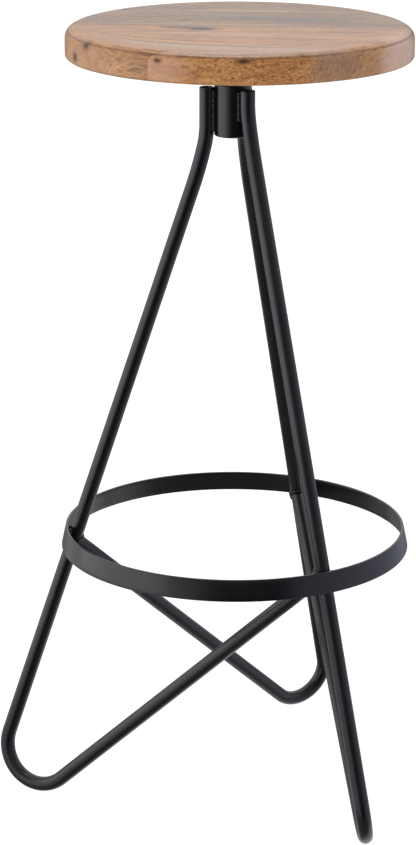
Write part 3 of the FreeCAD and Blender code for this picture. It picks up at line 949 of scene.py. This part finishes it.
w_mid = wood("wood_middle_board", ((0.550, 0.290, 0.126), (0.440, 0.226, 0.099), (0.235, 0.112, 0.050)), (-60, 640), 8.7,
             knots=((-29, -18, 765, 15, 12, 12, 1.15), (-129.8, -93, 760.0, 6.5, 6.5, 4.5, 1.0),
                    (-141.5, -73.2, 745.9, 6.5, 6.5, 5.5, 1.0)),
             streaks=((-50, -13.0, 765, 28, 8.5, 12, 1.0, (0.090, 0.036, 0.034)),
                      (-5, -25, 765, 18, 6, 9, 0.7, (0.58, 0.27, 0.11)),
                      (-30, -121, 765, 155, 4.0, 9, 0.95, LINE), (-60, -98, 765, 95, 2.8, 9, 0.8, LINE),
                      (110, -28, 765, 52, 4.2, 9, 0.95, LINE), (60, -72, 765, 75, 2.6, 9, 0.7, LINE),
                      (-80, -40, 765, 70, 2.6, 9, 0.6, LINE),
                      (25, -50, 765, 110, 14, 12, 0.45, (0.56, 0.29, 0.13)),
                      # the pale greyish streak along the front of this board is a painted reflection
                      (20, -134, 765, 190, 20, 12, 0.55, (0.42, 0.315, 0.235)),
                      (158, -60, 750, 28, 75, 22, 0.8, (0.60, 0.43, 0.35)),
                      (100, -130, 748, 32, 30, 20, 0.55, (0.27, 0.150, 0.100))), fan=0.52, pores=0.7, ripple=(66, 132, 0.32))
w_front = wood("wood_front_board", ((0.70, 0.350, 0.130), (0.50, 0.222, 0.074), (0.22, 0.085, 0.026)), (-230, 640), 5.3,
               knots=((-58.5, -151, 757.0, 4.0, 5, 2.6, 0.9), (20, -163.6, 759.4, 8.0, 6, 2.4, 1.0)),
               # the pale patch over the front-left of this board, edge and top, is painted light and sheen
               streaks=((-62, -150, 750, 42, 40, 30, 0.65, (0.51, 0.30, 0.205)),), rope=1.0, rope_x=(-38, -8),
               # the front board's top colour below is partly its own tone, partly a painted sheen
               pores=0.22, face=(0.44, 0.315, 0.222))


def paint(o, mat):
    o.data.materials.clear()
    o.data.materials.append(mat)


for n, o in boards.items():
    paint(o, {"seat_board_front": w_front, "seat_board_middle": w_mid, "seat_board_rear": w_rear}[n])
    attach(o, "seat")
    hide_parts(n)
for n, o in tubes.items():
    paint(o, coat)
    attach(o, "frame")
    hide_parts(n)
for o, n, mt in ((ring_o, "footrest_ring", coat), (seam_o, "footrest_seam_weld", coat_weld),
                 (hub_o, "hub_welds", coat_weld), (rw_o, "footrest_welds", coat_weld),
                 (bw_o, "brace_welds", coat_weld)):
    paint(o, mt)
    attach(o, "frame")
    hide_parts(n)
for n, mt in (("hub_collar", coat), ("upper_bush", bush), ("lower_bush", bush), ("thrust_washer", bush),
              ("swivel_spindle", steel_bright), ("retaining_washer", steel_zinc),
              ("retaining_clip", steel_spring), ("seat_plate", coat), ("plate_weld", coat_weld),
              ("seat_screws", steel_zinc)):
    paint(N[n], mt)

# --------------------------------------------------------------------------
# floor, light, camera
# --------------------------------------------------------------------------
fm = Mat("floor_paper")
fc = fm.noise(fm.coord(), 3.0, 2, 0.5)
fm.link(fm.mix(fm.ramp(fc, 0.3, 0.7), (0.16, 0.16, 0.16), (0.18, 0.18, 0.18)), fm.b.inputs["Base Color"])
fm.b.inputs["Roughness"].default_value = 0.95
fm.b.inputs["Specular IOR Level"].default_value = 0.0
fm.b.inputs["Emission Color"].default_value = (1, 1, 1, 1)
fm.b.inputs["Emission Strength"].default_value = 0.98
bpy.ops.mesh.primitive_grid_add(x_subdivisions=4, y_subdivisions=4, size=60, location=(0, 0, 0))
floor = bpy.context.active_object
floor.name = "studio_floor"
paint(floor, fm.m)
floor.visible_glossy = False

world = bpy.data.worlds.new("studio")
scn.world = world
world.use_nodes = True
wt = world.node_tree
wt.nodes.clear()
wo = wt.nodes.new("ShaderNodeOutputWorld")
bg = wt.nodes.new("ShaderNodeBackground")
wt.links.new(bg.outputs[0], wo.inputs[0])
tc = wt.nodes.new("ShaderNodeTexCoord")
sp = wt.nodes.new("ShaderNodeSeparateXYZ")
wt.links.new(tc.outputs["Generated"], sp.inputs[0])


def wmath(op, a, b=None):
    n = wt.nodes.new("ShaderNodeMath")
    n.operation = op
    for s, v in zip(n.inputs, (a, b)):
        if v is None:
            continue
        if isinstance(v, (int, float)):
            s.default_value = v
        else:
            wt.links.new(v, s)
    return n.outputs[0]


def wramp(val, stops):
    n = wt.nodes.new("ShaderNodeValToRGB")
    n.color_ramp.interpolation = "EASE"
    e = n.color_ramp.elements
    while len(e) > 1:
        e.remove(e[-1])
    e[0].position, e[0].color = stops[0][0], (*stops[0][1], 1)
    for p, c in stops[1:]:
        q = e.new(p)
        q.color = (*c, 1)
    wt.links.new(val, n.inputs[0])
    return n.outputs[0]


def wmix(f, a, b):
    n = wt.nodes.new("ShaderNodeMix")
    n.data_type = "RGBA"
    n.clamp_factor = True
    wt.links.new(f, n.inputs[0])
    for s, v in ((n.inputs[6], a), (n.inputs[7], b)):
        if isinstance(v, tuple):
            s.default_value = (*v, 1)
        else:
            wt.links.new(v, s)
    return n.outputs[2]


az = wmath("ARCTAN2", sp.outputs[0], wmath("MULTIPLY", sp.outputs[1], -1.0))      # 0 at the front, + to the right
az01 = wmath("ADD", wmath("DIVIDE", az, 2 * math.pi), 0.5)
S = 2.2      # the ramps below are in units of S


def st_(deg, v, tint=(1, 1, 1)):
    return (deg / 360 + 0.5, tuple(v / S * t for t in tint))


warm, cool = (0.985, 0.98, 1.05), (0.93, 0.96, 1.16)
# walls of light: a long bright one on the left, a weaker cool one on the right, darkness in front
around = wramp(az01, [st_(-180, 0.20), st_(-160, 0.25), st_(-142, 0.75), st_(-110, 0.85, warm), st_(-60, 0.95, warm),
                      st_(-34, 0.80, warm), st_(-18, 0.06), st_(0, 0.03), st_(26, 0.04), st_(40, 0.55, cool),
                      st_(90, 0.75, cool), st_(138, 0.60, cool), st_(160, 0.25), st_(180, 0.20)])
below = wramp(az01, [st_(-180, 0.9), st_(-140, 0.30), st_(-100, 0.25), st_(-50, 0.30), st_(-20, 0.20), st_(20, 0.20),
                     st_(60, 0.25), st_(90, 0.9), st_(140, 1.0), st_(180, 0.9)])
low_f = wramp(wmath("ADD", wmath("MULTIPLY", sp.outputs[2], 0.5), 0.5),
              [(0.0, (1, 1, 1)), (0.23, (1, 1, 1)), (0.31, (0, 0, 0)), (1.0, (0, 0, 0))])
col = wmix(low_f, around, below)
# a large soft box overhead that reaches back and down behind the object
yb = wramp(wmath("ADD", wmath("MULTIPLY", sp.outputs[1], 0.5), 0.5),
           [(0.0, (0, 0, 0)), (0.395, (0, 0, 0)), (0.445, (1, 1, 1)), (1.0, (1, 1, 1))])
zb_ = wramp(wmath("ADD", wmath("MULTIPLY", sp.outputs[2], 0.5), 0.5),
            [(0.0, (0, 0, 0)), (0.52, (0, 0, 0)), (0.60, (1, 1, 1)), (1.0, (1, 1, 1))])
fade = wramp(wmath("ADD", wmath("MULTIPLY", sp.outputs[2], 0.5), 0.5),
             [(0.0, (0, 0, 0)), (0.475, (0, 0, 0)), (0.74, (1, 1, 1)), (1.0, (1, 1, 1))])
col = wmix(fade, col, (0.42 / S, 0.42 / S, 0.43 / S))
box = wramp(wmath("ADD", wmath("MULTIPLY", sp.outputs[2], 0.5), 0.5),
            [(0.0, (0.99 / S, 0.99 / S, 1.04 / S)), (0.70, (0.99 / S, 0.99 / S, 1.04 / S)), (0.90, (1.2 / S, 1.2 / S, 1.25 / S)),
             (1.0, (1.2 / S, 1.2 / S, 1.25 / S))])
col = wmix(wmath("MULTIPLY", yb, zb_), col, box)
# the backdrop itself is plain white paper
lp = wt.nodes.new("ShaderNodeLightPath")
col = wmix(lp.outputs["Is Camera Ray"], col, (1 / S, 1 / S, 1 / S))
wt.links.new(col, bg.inputs["Color"])
bg.inputs["Strength"].default_value = S

def soft_box(name, size, energy, loc, glossy=True):
    d = bpy.data.lights.new(name, "AREA")
    d.shape = "SQUARE"
    d.size = size
    d.energy = energy
    o = bpy.data.objects.new(name, d)
    o.location = loc
    o.visible_camera = False
    o.visible_glossy = glossy
    scn.collection.objects.link(o)
    return o


# the main soft box hangs over the seat, and a larger weak one fills from above
soft_box("key_box", 0.42, 2.55, (-0.05, -0.08, 1.62))
left = soft_box("left_box", 1.9, 6.6, (-1.30, -0.25, 0.62))
left.data.shape = "RECTANGLE"
left.data.size, left.data.size_y = 1.9, 1.15        # along the floor, upright
# local X runs along the floor (world -Y), local Y is upright and the light faces +X
left.rotation_euler = Matrix(((0, 0, -1), (-1, 0, 0), (0, 1, 0))).to_euler()
soft_box("top_fill", 2.0, 3.5, (-0.3, 0.2, 3.0), glossy=False)

cam_d = bpy.data.cameras.new("camera")
cam = bpy.data.objects.new("camera", cam_d)
scn.collection.objects.link(cam)
right = Vector((0.998361, -0.0571844, 0.0022965))
up = Vector((0.0143176, 0.2884136, 0.9573989))
fwd = Vector((0.0554106, 0.9557968, -0.2887596))
rot = Matrix((right, up, -fwd)).transposed()
cam.matrix_world = Matrix.Translation((-0.179297, -2.695619, 1.189872)) @ rot.to_4x4()
cam_d.sensor_fit = "AUTO"
cam_d.sensor_width = 36
cam_d.lens = 122.5886
cam_d.clip_end = 200
scn.camera = cam

scn.view_settings.view_transform = "Standard"
scn.view_settings.look = "None"
scn.view_settings.exposure = 0.0
scn.view_settings.gamma = 1.0
